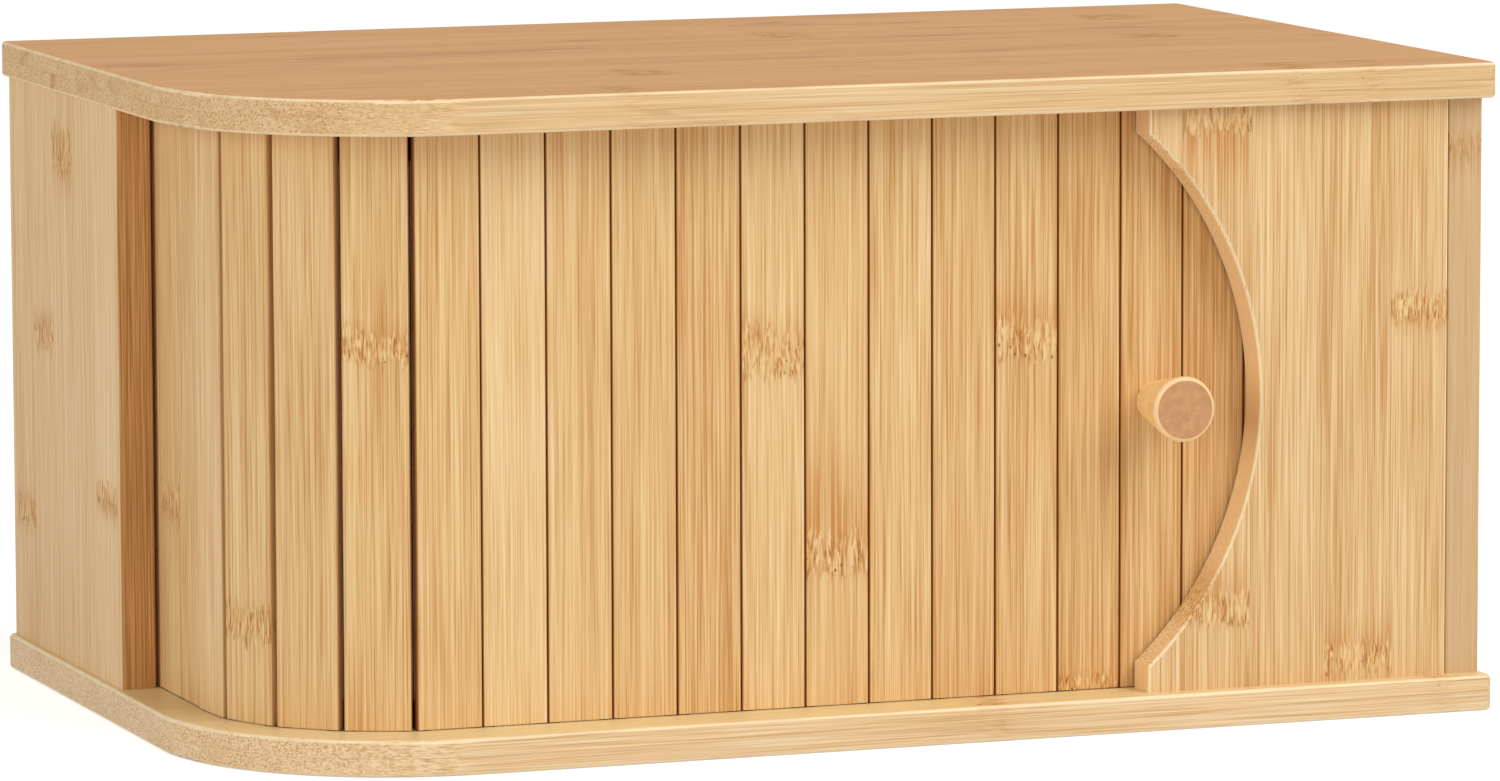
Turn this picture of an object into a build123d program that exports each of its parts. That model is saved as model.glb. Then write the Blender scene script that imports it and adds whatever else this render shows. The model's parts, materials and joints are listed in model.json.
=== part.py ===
from build123d import *
from math import ceil, cos, degrees, pi, sin, sqrt
import os

# Bread box of bamboo boards with a slatted door that slides left, round the front left
# corner and in behind a short left side panel.
# Millimetres. X runs right along the front, Y to the back, Z up.
# The origin is the middle of the bottom panel's outline, on its underside.

# Overall sizes, over the top and bottom panels.
BOX_WIDTH = 404.0
BOX_DEPTH = 248.0
BOX_HEIGHT = 200.0

# Boards.
BOARD_THICKNESS = 11.0
PANEL_CORNER_RADIUS = 75.0     # plan radius of both panels at the front left
SQUARE_CORNER_RADIUS = 2.5     # the other three corners
EDGE_ROUND = 1.2               # all round the panels' edges
UPRIGHT_EDGE_ROUND = 0.8       # on the side panels' and front board's outer edges
SIDE_INSET = 2.0               # side and back panels, behind the panels' edges
FRONT_BOARD_INSET = 5.5        # front board's face, behind the panels' front edge
RIGHT_PANEL_STEP = 1.0         # right panel's front end, behind the front board's face
LEFT_PANEL_START = 124.0       # left panel's front end, behind the panels' front edge

# Front board, with a round bay cut in its left edge.
FRONT_BOARD_WIDTH = 98.8
FRONT_BOARD_GAP = 0.8          # between the board and the right panel
BAY_RADIUS = 108.0
BAY_SHOULDER = 8.0             # straight edge left above and below the bay

# Slats.
SLAT_WIDTH = 20.0
SLAT_SEAM = 0.43
SLAT_THICKNESS = 3.5
SLAT_EDGE_ROUND = 0.6
SLAT_END_GAP = 0.3             # slat shoulder to panel
TONGUE_WIDTH = 12.0
TONGUE_THICKNESS = 2.2
TONGUE_LENGTH = 3.3
GROOVE_SIDE_GAP = 0.5          # each side of a tongue, enough for it to turn the corner
GROOVE_DEPTH = 3.8
GROOVE_STOP_GAP = 0.3          # tongue to groove end, with the door closed or open

# Door's track.
DOOR_FRONT_GAP = 1.2           # front board to slats
DOOR_LEFT_GAP = 1.44           # left panel to slats
DOOR_BACK_GAP = 1.5            # back panel to slats
DOOR_CORNER_RADIUS = 58.0      # to the slats' outer faces
DOOR_OVERLAP = 12.0            # door hidden behind the front board, past the bay
TAIL_OVERLAP = 18.0            # door hidden behind the left panel
SLATS_AHEAD_OF_KNOB = 2
SLATS_LEFT_BEFORE_CORNER = 1   # where the knob's slat stops with the door open

# Cloth backing, glued to the slats.
CLOTH_THICKNESS = 0.5
CLOTH_MARGIN = 9.0             # bare slat above and below the cloth

# Knob.
KNOB_LENGTH = 23.0
KNOB_FACE_RADIUS = 10.3
KNOB_BASE_RADIUS = 6.2
KNOB_EDGE_ROUND = 1.6
KNOB_HOLE_DEPTH = 16.0
KNOB_OFFSET = 1.4              # right of its slat's middle
KNOB_DROP = 1.4                # below the box's middle height

# Knob screw and washer.
SCREW_RADIUS = 2.0
SCREW_TIP_RADIUS = 0.25
SCREW_HEAD_RADIUS = 4.0
PAN_HEAD_HEIGHT = 2.4
PAN_HEAD_ROUND = 1.2
KNOB_SCREW_REACH = 13.0        # into the knob
WASHER_RADIUS = 5.0
WASHER_THICKNESS = 0.9
RECESS_LENGTH = 4.4            # cross recess in every screw head
RECESS_WIDTH = 1.0
RECESS_DEPTH = 1.3
HOLE_CLEARANCE = 0.1           # round every screw and dowel

# Dowels in the top joints, countersunk screws in the bottom ones.
DOWEL_RADIUS = 3.0
DOWEL_LENGTH = 30.0
DOWEL_IN_PANEL = 7.0
DOWEL_END_GAP = 0.4
BASE_SCREW_LENGTH = 36.0
BASE_SCREW_TIP = 5.0
COUNTERSINK_DEPTH = 2.6
COUNTERSINK_RECESS = 0.2       # head below the underside
FIXING_END_DISTANCE = 24.0     # first fixing from an upright's end
FIXING_SPACING = 110.0         # longest distance between fixings
CUT_OVERRUN = 1.0              # how far a cutting shape starts outside the surface

# Places worked out from the sizes.
HALF_WIDTH = BOX_WIDTH / 2
HALF_DEPTH = BOX_DEPTH / 2
FLOOR_Z = BOARD_THICKNESS
CEILING_Z = BOX_HEIGHT - BOARD_THICKNESS
MIDDLE_Z = BOX_HEIGHT / 2
KNOB_Z = MIDDLE_Z - KNOB_DROP
SIDE_OUTER_X = HALF_WIDTH - SIDE_INSET
SIDE_INNER_X = SIDE_OUTER_X - BOARD_THICKNESS
BACK_OUTER_Y = HALF_DEPTH - SIDE_INSET
BACK_INNER_Y = BACK_OUTER_Y - BOARD_THICKNESS
BOARD_FACE_Y = -HALF_DEPTH + FRONT_BOARD_INSET
BOARD_REAR_Y = BOARD_FACE_Y + BOARD_THICKNESS
BOARD_RIGHT_X = SIDE_INNER_X - FRONT_BOARD_GAP
BOARD_LEFT_X = BOARD_RIGHT_X - FRONT_BOARD_WIDTH
BAY_HALF_HEIGHT = (CEILING_Z - FLOOR_Z) / 2 - BAY_SHOULDER
BAY_CENTRE_X = BOARD_LEFT_X - sqrt(BAY_RADIUS**2 - BAY_HALF_HEIGHT**2)
BAY_APEX_X = BAY_CENTRE_X + BAY_RADIUS

# The track is the line of the slats' back faces: front run, corner, left run, corner,
# back run. Station 0 is where the front corner starts, and stations lie one slat pitch
# apart, positive along the front run and negative round the corner. A slat reaches half a
# pitch past its station, which is the HALF_SLAT in the two counts below.
SLAT_PITCH = SLAT_WIDTH + SLAT_SEAM
TRACK_RADIUS = DOOR_CORNER_RADIUS - SLAT_THICKNESS
TRACK_FRONT_Y = BOARD_REAR_Y + DOOR_FRONT_GAP + SLAT_THICKNESS
TRACK_LEFT_X = -SIDE_INNER_X + DOOR_LEFT_GAP + SLAT_THICKNESS
TRACK_BACK_Y = BACK_INNER_Y - DOOR_BACK_GAP - SLAT_THICKNESS
CORNER_X = TRACK_LEFT_X + TRACK_RADIUS
FRONT_CORNER_Y = TRACK_FRONT_Y + TRACK_RADIUS
BACK_CORNER_Y = TRACK_BACK_Y - TRACK_RADIUS
QUARTER_TURN = TRACK_RADIUS * pi / 2
LEFT_RUN = BACK_CORNER_Y - FRONT_CORNER_Y

LEFT_PANEL_FRONT_Y = -HALF_DEPTH + LEFT_PANEL_START
HALF_SLAT = 0.5
LEAD_STATION = ceil((BAY_APEX_X + DOOR_OVERLAP - CORNER_X) / SLAT_PITCH - HALF_SLAT)
TAIL_REACH = QUARTER_TURN + LEFT_PANEL_FRONT_Y + TAIL_OVERLAP - FRONT_CORNER_Y
TAIL_STATION = -ceil(TAIL_REACH / SLAT_PITCH - HALF_SLAT)
KNOB_STATION = LEAD_STATION - SLATS_AHEAD_OF_KNOB
TRAVEL_STATIONS = KNOB_STATION - SLATS_LEFT_BEFORE_CORNER


def track_point(distance):
    """x, y and clockwise turn in degrees, at a distance past the start of the front corner."""
    if distance <= 0:
        return CORNER_X - distance, TRACK_FRONT_Y, 0.0
    if distance < QUARTER_TURN:
        turn = distance / TRACK_RADIUS
        x = CORNER_X - TRACK_RADIUS * sin(turn)
        return x, FRONT_CORNER_Y - TRACK_RADIUS * cos(turn), degrees(turn)
    distance -= QUARTER_TURN
    if distance <= LEFT_RUN:
        return TRACK_LEFT_X, FRONT_CORNER_Y + distance, 90.0
    distance -= LEFT_RUN
    if distance < QUARTER_TURN:
        turn = distance / TRACK_RADIUS
        x = CORNER_X - TRACK_RADIUS * cos(turn)
        return x, BACK_CORNER_Y + TRACK_RADIUS * sin(turn), 90.0 + degrees(turn)
    return CORNER_X + distance - QUARTER_TURN, TRACK_BACK_Y, 180.0


def station_point(station):
    """x, y and clockwise turn of a slat's back face at a station."""
    return track_point(-station * SLAT_PITCH)


def at_station(station, shape):
    """A shape drawn about a slat's back face, with the face outward along -Y, at a station."""
    x, y, turn = station_point(station)
    return Pos(x, y, 0) * Rot(0, 0, -turn) * shape


def block(x_range, y_range, z_range):
    """A box between two values along each axis."""
    middle = [(low + high) / 2 for low, high in (x_range, y_range, z_range)]
    size = [high - low for low, high in (x_range, y_range, z_range)]
    return Pos(*middle) * Box(*size)


def rod(radius, low, high):
    """An upright cylinder on the Z axis."""
    return Pos(0, 0, (low + high) / 2) * Cylinder(radius, high - low)


def cross_recess(surface_z, direction):
    """The cross cut into a screw head from surface_z, along direction (1 up, -1 down)."""
    outside_z = surface_z - direction * CUT_OVERRUN
    z_range = sorted((outside_z, surface_z + direction * RECESS_DEPTH))
    long_side = (-RECESS_LENGTH / 2, RECESS_LENGTH / 2)
    short_side = (-RECESS_WIDTH / 2, RECESS_WIDTH / 2)
    return block(long_side, short_side, z_range) + block(short_side, long_side, z_range)


# Uprights, as plan rectangles: x range and y range.
UPRIGHTS = {
    "left_side_panel": (
        (-SIDE_OUTER_X, -SIDE_INNER_X),
        (LEFT_PANEL_FRONT_Y, BACK_OUTER_Y),
    ),
    "right_side_panel": (
        (SIDE_INNER_X, SIDE_OUTER_X),
        (BOARD_FACE_Y + RIGHT_PANEL_STEP, BACK_OUTER_Y),
    ),
    "back_panel": ((-SIDE_INNER_X, SIDE_INNER_X), (BACK_INNER_Y, BACK_OUTER_Y)),
    "front_board": ((BOARD_LEFT_X, BOARD_RIGHT_X), (BOARD_FACE_Y, BOARD_REAR_Y)),
}


def fixing_points(upright):
    """Plan points of an upright's dowels and screws: evenly spaced along its middle line."""
    x_range, y_range = UPRIGHTS[upright]
    along_x = x_range[1] - x_range[0] > y_range[1] - y_range[0]
    low, high = x_range if along_x else y_range
    first, last = low + FIXING_END_DISTANCE, high - FIXING_END_DISTANCE
    spaces = ceil((last - first) / FIXING_SPACING)
    steps = [first + (last - first) * n / spaces for n in range(spaces + 1)]
    if along_x:
        return [(step, sum(y_range) / 2) for step in steps]
    return [(sum(x_range) / 2, step) for step in steps]


def all_fixing_points():
    return [point for upright in UPRIGHTS for point in fixing_points(upright)]


def at_points(points, shape):
    """Copies of a shape at plan points."""
    return [Pos(x, y, 0) * shape for x, y in points]


def dowel():
    low = CEILING_Z + DOWEL_IN_PANEL - DOWEL_LENGTH
    return rod(DOWEL_RADIUS, low, CEILING_Z + DOWEL_IN_PANEL)


def dowel_hole():
    low = CEILING_Z + DOWEL_IN_PANEL - DOWEL_LENGTH - DOWEL_END_GAP
    high = CEILING_Z + DOWEL_IN_PANEL + DOWEL_END_GAP
    return rod(DOWEL_RADIUS + HOLE_CLEARANCE, low, high)


def base_screw():
    """A countersunk wood screw, driven up from the underside."""
    head_z = COUNTERSINK_RECESS
    neck_z = head_z + COUNTERSINK_DEPTH
    tip_z = head_z + BASE_SCREW_LENGTH - BASE_SCREW_TIP
    head = Cone(SCREW_HEAD_RADIUS, SCREW_RADIUS, COUNTERSINK_DEPTH)
    head = Pos(0, 0, (head_z + neck_z) / 2) * head
    shank = rod(SCREW_RADIUS, neck_z, tip_z)
    tip = Cone(SCREW_RADIUS, SCREW_TIP_RADIUS, BASE_SCREW_TIP)
    tip = Pos(0, 0, tip_z + BASE_SCREW_TIP / 2) * tip
    return head + shank + tip - cross_recess(head_z, 1)


def base_screw_hole():
    """The hole for a base screw, countersunk at the underside."""
    wide = SCREW_HEAD_RADIUS + HOLE_CLEARANCE
    narrow = SCREW_RADIUS + HOLE_CLEARANCE
    neck_z = COUNTERSINK_RECESS + COUNTERSINK_DEPTH
    cone = Pos(0, 0, (COUNTERSINK_RECESS + neck_z) / 2) * Cone(wide, narrow, COUNTERSINK_DEPTH)
    mouth = rod(wide, -CUT_OVERRUN, COUNTERSINK_RECESS)
    shank = rod(narrow, neck_z, COUNTERSINK_RECESS + BASE_SCREW_LENGTH + DOWEL_END_GAP)
    return mouth + cone + shank


def panel_outline():
    """Plan outline of the top and bottom panels."""
    face = Rectangle(BOX_WIDTH, BOX_DEPTH)
    corner = face.vertices().sort_by(lambda v: v.X + v.Y)[0]
    others = [v for v in face.vertices() if v != corner]
    face = fillet(others, SQUARE_CORNER_RADIUS)
    corner = face.vertices().sort_by(lambda v: v.X + v.Y)[0]
    return fillet(corner, PANEL_CORNER_RADIUS)


def plain_panel(low_z):
    """A top or bottom panel with rounded edges, before its groove and holes."""
    panel = Pos(0, 0, low_z) * extrude(panel_outline(), BOARD_THICKNESS)
    rims = panel.faces().filter_by(Axis.Z).edges()
    return fillet(rims, EDGE_ROUND)


def groove_ends():
    """Distances along the track at which the groove starts and ends."""
    reach = TONGUE_WIDTH / 2 + GROOVE_STOP_GAP
    open_tail = TAIL_STATION - TRAVEL_STATIONS
    return -LEAD_STATION * SLAT_PITCH - reach, -open_tail * SLAT_PITCH + reach


def groove(low_z, high_z):
    """The groove that the slats' tongues run in."""
    start, end = groove_ends()
    offset = SLAT_THICKNESS / 2
    half = TONGUE_THICKNESS / 2 + GROOVE_SIDE_GAP
    start_x = track_point(start)[0]
    end_x = track_point(end)[0]
    front, left, back = TRACK_FRONT_Y - offset, TRACK_LEFT_X - offset, TRACK_BACK_Y + offset
    height = (low_z, high_z)
    runs = block((CORNER_X, start_x), (front - half, front + half), height)
    runs += block((left - half, left + half), (FRONT_CORNER_Y, BACK_CORNER_Y), height)
    runs += block((CORNER_X, end_x), (back - half, back + half), height)
    radius = TRACK_RADIUS + offset
    ring = rod(radius + half, low_z, high_z) - rod(radius - half, low_z, high_z)
    reach = radius + 2 * half
    front_quarter = ring & block((-reach, 0), (-reach, 0), height)
    back_quarter = ring & block((-reach, 0), (0, reach), height)
    corners = Pos(CORNER_X, FRONT_CORNER_Y, 0) * front_quarter
    corners += Pos(CORNER_X, BACK_CORNER_Y, 0) * back_quarter
    return runs + corners


def bottom_panel():
    panel = plain_panel(0) - groove(FLOOR_Z - GROOVE_DEPTH, FLOOR_Z + CUT_OVERRUN)
    return panel - at_points(all_fixing_points(), base_screw_hole())


def top_panel():
    panel = plain_panel(CEILING_Z) - groove(CEILING_Z - CUT_OVERRUN, CEILING_Z + GROOVE_DEPTH)
    return panel - at_points(all_fixing_points(), dowel_hole())


def plain_upright(name):
    return block(*UPRIGHTS[name], (FLOOR_Z, CEILING_Z))


def drilled(name, board):
    """An upright with its dowel holes at the top and screw holes at the bottom."""
    holes = at_points(fixing_points(name), dowel_hole())
    holes += at_points(fixing_points(name), base_screw_hole())
    return board - holes


def upright_edges(board, x, y):
    """The vertical edge of a board at a plan point."""
    edges = board.edges().filter_by(Axis.Z)
    return edges.sort_by(lambda e: (e.center().X - x) ** 2 + (e.center().Y - y) ** 2)[:1]


def side_panel(name):
    """A side panel with its outer front and back corners rounded, and its inner front one."""
    x_range, y_range = UPRIGHTS[name]
    outer_x = max(x_range, key=abs)
    inner_x = min(x_range, key=abs)
    board = plain_upright(name)
    edges = upright_edges(board, outer_x, y_range[0]) + upright_edges(board, outer_x, y_range[1])
    edges += upright_edges(board, inner_x, y_range[0])
    return drilled(name, fillet(edges, UPRIGHT_EDGE_ROUND))


def back_panel():
    return drilled("back_panel", plain_upright("back_panel"))


def runs_upward(edge):
    """Whether an edge is nearer to vertical than to level at its middle."""
    tangent = edge.tangent_at(0.5)
    return abs(tangent.Z) > abs(tangent.X)


def front_board():
    """The fixed board at the right, with a round bay in its left edge."""
    bay = Pos(BAY_CENTRE_X, (BOARD_FACE_Y + BOARD_REAR_Y) / 2, MIDDLE_Z) * Rot(90, 0, 0)
    bay *= Cylinder(BAY_RADIUS, 2 * BOARD_THICKNESS)
    board = plain_upright("front_board") - bay
    face = board.faces().filter_by(Axis.Y).sort_by(Axis.Y)[0]
    outer = [edge for edge in face.edges() if runs_upward(edge)]
    return drilled("front_board", fillet(outer, UPRIGHT_EDGE_ROUND))


def knob_screw_hole():
    """A hole right through a slat or the cloth, for the knob's screw."""
    hole = Cylinder(SCREW_RADIUS + HOLE_CLEARANCE, 4 * SLAT_THICKNESS)
    return Pos(KNOB_OFFSET, 0, KNOB_Z) * Rot(90, 0, 0) * hole


def slat():
    """One slat, with its tongues, drawn about its back face."""
    half = SLAT_WIDTH / 2
    height = (FLOOR_Z + SLAT_END_GAP, CEILING_Z - SLAT_END_GAP)
    body = block((-half, half), (-SLAT_THICKNESS, 0), height)
    front_edges = body.edges().filter_by(Axis.Z).sort_by(Axis.Y)[:2]
    body = fillet(front_edges, SLAT_EDGE_ROUND)
    tongues = (height[0] - TONGUE_LENGTH, height[1] + TONGUE_LENGTH)
    across = (
        -(SLAT_THICKNESS + TONGUE_THICKNESS) / 2,
        -(SLAT_THICKNESS - TONGUE_THICKNESS) / 2,
    )
    return body + block((-TONGUE_WIDTH / 2, TONGUE_WIDTH / 2), across, tongues)


def slats():
    """Every slat, by name, from the leading one to the tail."""
    made = {}
    for station in range(LEAD_STATION, TAIL_STATION - 1, -1):
        shape = slat() - knob_screw_hole() if station == KNOB_STATION else slat()
        made[f"slat_{LEAD_STATION - station + 1:02d}"] = at_station(station, shape)
    return made


def stretch(station):
    """Which straight run a station lies on (0 front, 90 left, 180 back), or None in a corner."""
    turn = station_point(station)[2]
    return turn if turn in (0.0, 90.0, 180.0) else None


def rigid_groups():
    """Slats that stay in one plane while the door opens, as lists of stations."""
    groups = []
    last = None
    for station in range(LEAD_STATION, TAIL_STATION - 1, -1):
        ends = stretch(station), stretch(station - TRAVEL_STATIONS)
        if ends == last and None not in ends:
            groups[-1].append(station)
        else:
            groups.append([station])
        last = ends
    return groups


def backing(group):
    """The cloth behind a group of slats, drawn about its leading slat's back face."""
    half = SLAT_WIDTH / 2
    low_x = -half - (len(group) - 1) * SLAT_PITCH
    z_range = (FLOOR_Z + CLOTH_MARGIN, CEILING_Z - CLOTH_MARGIN)
    strip = block((low_x, half), (0, CLOTH_THICKNESS), z_range)
    if KNOB_STATION in group:
        strip -= Pos((KNOB_STATION - group[0]) * SLAT_PITCH, 0, 0) * knob_screw_hole()
    return at_station(group[0], strip)


def backings():
    """The cloth, divided at the seams that flex."""
    groups = rigid_groups()
    return {f"backing_{n + 1:02d}": backing(group) for n, group in enumerate(groups)}


def turned(profile_points, rounded=None):
    """A solid turned about Y at the knob's centre, from (radius, y) points."""
    outline = make_face(Polyline([(radius, y) for radius, y in profile_points], close=True))
    if rounded:
        corner, radius = rounded
        near = lambda v: (v.X - corner[0]) ** 2 + (v.Y - corner[1]) ** 2
        outline = fillet(outline.vertices().sort_by(near)[0], radius)
    return Pos(KNOB_OFFSET, 0, KNOB_Z) * revolve(outline, Axis.Y)


def knob():
    """The turned knob: a tapered stem that widens to a flat face."""
    base_y = -SLAT_THICKNESS
    face_y = base_y - KNOB_LENGTH
    hole_radius = SCREW_RADIUS + HOLE_CLEARANCE
    points = [
        (0, face_y),
        (KNOB_FACE_RADIUS, face_y),
        (KNOB_BASE_RADIUS, base_y),
        (hole_radius, base_y),
        (hole_radius, base_y - KNOB_HOLE_DEPTH),
        (0, base_y - KNOB_HOLE_DEPTH),
    ]
    return turned(points, ((KNOB_FACE_RADIUS, face_y), KNOB_EDGE_ROUND))


def knob_washer():
    inner = SCREW_RADIUS + HOLE_CLEARANCE
    low_y = CLOTH_THICKNESS
    high_y = low_y + WASHER_THICKNESS
    points = [(inner, low_y), (WASHER_RADIUS, low_y), (WASHER_RADIUS, high_y), (inner, high_y)]
    return turned(points)


def knob_screw():
    """The pan head screw that holds the knob, with its head inside the box."""
    seat_y = CLOTH_THICKNESS + WASHER_THICKNESS
    head_y = seat_y + PAN_HEAD_HEIGHT
    tip_y = -SLAT_THICKNESS - KNOB_SCREW_REACH
    points = [
        (0, tip_y),
        (SCREW_RADIUS, tip_y),
        (SCREW_RADIUS, seat_y),
        (SCREW_HEAD_RADIUS, seat_y),
        (SCREW_HEAD_RADIUS, head_y),
        (0, head_y),
    ]
    screw = turned(points, ((SCREW_HEAD_RADIUS, head_y), PAN_HEAD_ROUND))
    recess = Pos(KNOB_OFFSET, head_y, KNOB_Z) * Rot(90, 0, 0) * cross_recess(0, 1)
    return screw - recess


def nodes():
    """Every piece, by name."""
    made = {
        "top_panel": top_panel(),
        "bottom_panel": bottom_panel(),
        "left_side_panel": side_panel("left_side_panel"),
        "right_side_panel": side_panel("right_side_panel"),
        "back_panel": back_panel(),
        "front_board": front_board(),
        "top_dowels": Compound(children=at_points(all_fixing_points(), dowel())),
        "base_screws": Compound(children=at_points(all_fixing_points(), base_screw())),
        "knob": at_station(KNOB_STATION, knob()),
        "knob_screw": at_station(KNOB_STATION, knob_screw()),
        "knob_washer": at_station(KNOB_STATION, knob_washer()),
    }
    return made | slats() | backings()


os.makedirs("parts", exist_ok=True)
for node_name, shape in nodes().items():
    export_step(shape, f"parts/{node_name}.step")
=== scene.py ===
import json
import math
import random

import bmesh
import bpy
from mathutils import Matrix, Vector


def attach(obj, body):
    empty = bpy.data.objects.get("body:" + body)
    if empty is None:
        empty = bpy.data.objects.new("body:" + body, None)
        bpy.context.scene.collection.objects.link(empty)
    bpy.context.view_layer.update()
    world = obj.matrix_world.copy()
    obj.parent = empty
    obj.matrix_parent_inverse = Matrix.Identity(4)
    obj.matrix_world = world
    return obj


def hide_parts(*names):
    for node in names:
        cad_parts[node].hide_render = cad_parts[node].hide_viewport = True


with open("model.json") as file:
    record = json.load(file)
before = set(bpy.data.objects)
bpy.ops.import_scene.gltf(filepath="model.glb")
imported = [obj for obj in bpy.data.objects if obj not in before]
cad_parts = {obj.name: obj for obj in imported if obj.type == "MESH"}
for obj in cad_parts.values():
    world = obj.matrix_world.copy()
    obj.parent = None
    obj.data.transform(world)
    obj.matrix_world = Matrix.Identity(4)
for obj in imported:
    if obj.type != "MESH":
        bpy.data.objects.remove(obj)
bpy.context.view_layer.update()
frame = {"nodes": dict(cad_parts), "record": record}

MM = 0.001
IMAGE_WIDTH = 1500     # pixels

# The door's track, as in the CAD source, in millimetres: the line of the slats' back faces.
SLAT_WIDTH = 20.0
SLAT_PITCH = 20.43
TRACK_RADIUS = 54.5
CORNER_X = -129.56
FRONT_CORNER_Y = -48.3
LEAD_STATION = 13
KNOB_SLAT = 3
SLAT_COUNT = 21
MIDDLE_Z = 100.0
KNOB_OFFSET = 1.4
KNOB_Z = 98.6


# ---------------------------------------------------------------- places

def station_of(slat):
    return LEAD_STATION - slat + 1


def track_point(station):
    """A slat's back face: x and y in millimetres, and its clockwise turn in degrees."""
    distance = -station * SLAT_PITCH
    quarter = TRACK_RADIUS * math.pi / 2
    if distance <= 0:
        return CORNER_X - distance, FRONT_CORNER_Y - TRACK_RADIUS, 0.0
    if distance < quarter:
        turn = distance / TRACK_RADIUS
        x = CORNER_X - TRACK_RADIUS * math.sin(turn)
        return x, FRONT_CORNER_Y - TRACK_RADIUS * math.cos(turn), math.degrees(turn)
    return CORNER_X - TRACK_RADIUS, FRONT_CORNER_Y + distance - quarter, 90.0


def slat_matrix(slat):
    """Where a slat stands: its own x runs across it, y inward and z up. In metres."""
    x, y, turn = track_point(station_of(slat))
    return Matrix.Translation((x * MM, y * MM, 0)) @ Matrix.Rotation(-math.radians(turn), 4, "Z")


# ---------------------------------------------------------------- node trees

def srgb(red, green, blue):
    """A linear colour from 0-255 display values."""
    def linear(value):
        value /= 255
        return value / 12.92 if value <= 0.04045 else ((value + 0.055) / 1.055) ** 2.4
    return linear(red), linear(green), linear(blue), 1.0


class Tree:
    """Adds and links nodes in one node tree."""

    def __init__(self, tree):
        self.tree = tree

    def node(self, kind, **settings):
        node = self.tree.nodes.new(kind)
        for name, value in settings.items():
            setattr(node, name, value)
        return node

    def put(self, value, socket):
        if isinstance(value, bpy.types.NodeSocket):
            self.tree.links.new(value, socket)
        else:
            socket.default_value = value

    def math(self, operation, *values):
        node = self.node("ShaderNodeMath", operation=operation)
        for value, socket in zip(values, node.inputs):
            self.put(value, socket)
        return node.outputs[0]

    def vector(self, operation, *values):
        node = self.node("ShaderNodeVectorMath", operation=operation)
        for value, socket in zip(values, node.inputs):
            self.put(value, socket)
        return node.outputs[0]

    def split(self, vector):
        node = self.node("ShaderNodeSeparateXYZ")
        self.put(vector, node.inputs[0])
        return node.outputs

    def join(self, *values):
        node = self.node("ShaderNodeCombineXYZ")
        for value, socket in zip(values, node.inputs):
            self.put(value, socket)
        return node.outputs[0]

    def mix(self, factor, low, high, blend="MIX"):
        node = self.node("ShaderNodeMix", data_type="RGBA", blend_type=blend)
        self.put(factor, node.inputs[0])
        self.put(low, node.inputs[6])
        self.put(high, node.inputs[7])
        return node.outputs[2]

    def remap(self, value, low, high, to_low=0.0, to_high=1.0):
        """A smooth step from low to high. Where low is above high, it falls instead."""
        node = self.node("ShaderNodeMapRange", interpolation_type="SMOOTHSTEP")
        for number, socket in zip((value, low, high, to_low, to_high), node.inputs):
            self.put(number, socket)
        return node.outputs[0]

    def noise(self, vector, scale=1.0, detail=2.0, roughness=0.5, distortion=0.0):
        node = self.node("ShaderNodeTexNoise", noise_dimensions="3D")
        self.put(vector, node.inputs["Vector"])
        for name, value in (("Scale", scale), ("Detail", detail), ("Roughness", roughness),
                            ("Distortion", distortion)):
            node.inputs[name].default_value = value
        return node.outputs[0]

    def cells(self, vector):
        """Distance to the nearest of many scattered points."""
        node = self.node("ShaderNodeTexVoronoi")
        self.put(vector, node.inputs["Vector"])
        node.inputs["Scale"].default_value = 1.0
        return node.outputs["Distance"]

    def random(self, vector):
        """A random value and a random colour for each whole-number vector."""
        node = self.node("ShaderNodeTexWhiteNoise", noise_dimensions="3D")
        self.put(vector, node.inputs["Vector"])
        return node.outputs["Value"], node.outputs["Color"]

    def ramp(self, value, *stops):
        node = self.node("ShaderNodeValToRGB")
        elements = node.color_ramp.elements
        while len(elements) < len(stops):
            elements.new(0.5)
        for element, (place, colour) in zip(elements, stops):
            element.position = place
            element.color = colour
        self.put(value, node.inputs[0])
        return node.outputs[0]


def new_material(name):
    material = bpy.data.materials.new(name)
    material.use_nodes = True
    tree = material.node_tree
    tree.nodes.clear()
    return material, Tree(tree)


def finish_material(t, colour, roughness, height, bump_mm=0.1, bump_strength=1.0, **fixed):
    """The shader, with its colour, roughness and bump, and any values that are the same all over."""
    shader = t.node("ShaderNodeBsdfPrincipled")
    t.put(colour, shader.inputs["Base Color"])
    t.put(roughness, shader.inputs["Roughness"])
    for name, value in fixed.items():
        shader.inputs[name.replace("_", " ")].default_value = value
    bump = t.node("ShaderNodeBump")
    bump.inputs["Strength"].default_value = bump_strength
    bump.inputs["Distance"].default_value = bump_mm * MM
    t.put(height, bump.inputs["Height"])
    t.put(bump.outputs[0], shader.inputs["Normal"])
    output = t.node("ShaderNodeOutputMaterial")
    t.put(shader.outputs[0], output.inputs["Surface"])


def along_axes(t, axes):
    """The surface point in millimetres as (across, through, along the grain)."""
    place = t.node("ShaderNodeTexCoord").outputs["Object"]
    parts = dict(zip("xyz", t.split(place)))
    return t.vector("MULTIPLY", t.join(*(parts[axis] for axis in axes)), (1 / MM,) * 3)


def along_slat(t, slat):
    """The same for a slat, wherever it stands on the track."""
    x, y, turn = track_point(station_of(slat))
    angle = math.radians(turn)
    mapping = t.node("ShaderNodeMapping", vector_type="POINT")
    t.put(t.node("ShaderNodeTexCoord").outputs["Object"], mapping.inputs["Vector"])
    mapping.inputs["Scale"].default_value = (1 / MM,) * 3
    mapping.inputs["Rotation"].default_value = (0, 0, angle)
    back = Matrix.Rotation(angle, 3, "Z") @ Vector((x, y, 0))
    mapping.inputs["Location"].default_value = -back
    return mapping.outputs[0]


# ---------------------------------------------------------------- bamboo

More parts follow.
